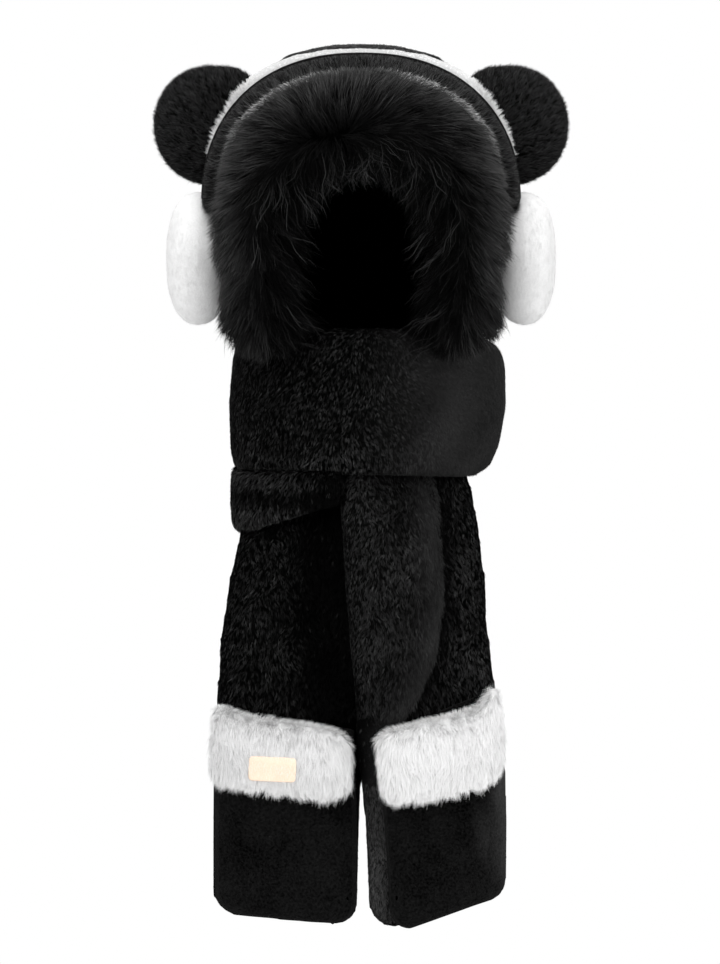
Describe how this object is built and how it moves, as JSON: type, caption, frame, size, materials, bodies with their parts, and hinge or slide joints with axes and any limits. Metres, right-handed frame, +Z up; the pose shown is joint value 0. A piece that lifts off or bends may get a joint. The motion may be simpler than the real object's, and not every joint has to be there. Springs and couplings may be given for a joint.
{
  "type": "bear ear hooded scarf",
  "caption": "Black plush hood with round bear ears, fur face trim, white ear muffs and a wound scarf whose two hanging ends carry velvet hand pockets with white cuffs",
  "frame": {"origin": "inside of the crown, where the wearer's head carries the hood", "axes": "X runs to the viewer's right across the ears, Y runs from the face to the back of the head, Z runs up"},
  "size_m": [0.3918, 0.2801, 0.842],
  "materials": {
    "black_plush": "short dense pile, matt",
    "black_fur": "long glossy faux fur",
    "black_velvet": "smooth short velvet",
    "white_plush": "soft white pile",
    "peach_leather": "smooth satin leather"
  },
  "bodies": {
    "root": {"hood": "black_plush", "headband": "black_plush", "white_strip": "white_plush", "ear_left": "black_plush", "ear_muff_left": "white_plush", "ear_right": "black_plush", "ear_muff_right": "white_plush", "fur_trim": "black_fur", "neck_wrap": "black_plush", "under_wrap": "black_plush", "scarf_end_right": "black_plush", "scarf_end_left": "black_plush", "pocket_left": "black_velvet", "pocket_right": "black_velvet", "cuff_left": "white_plush", "cuff_right": "white_plush", "patch": "peach_leather"}
  },
  "joints": []
}
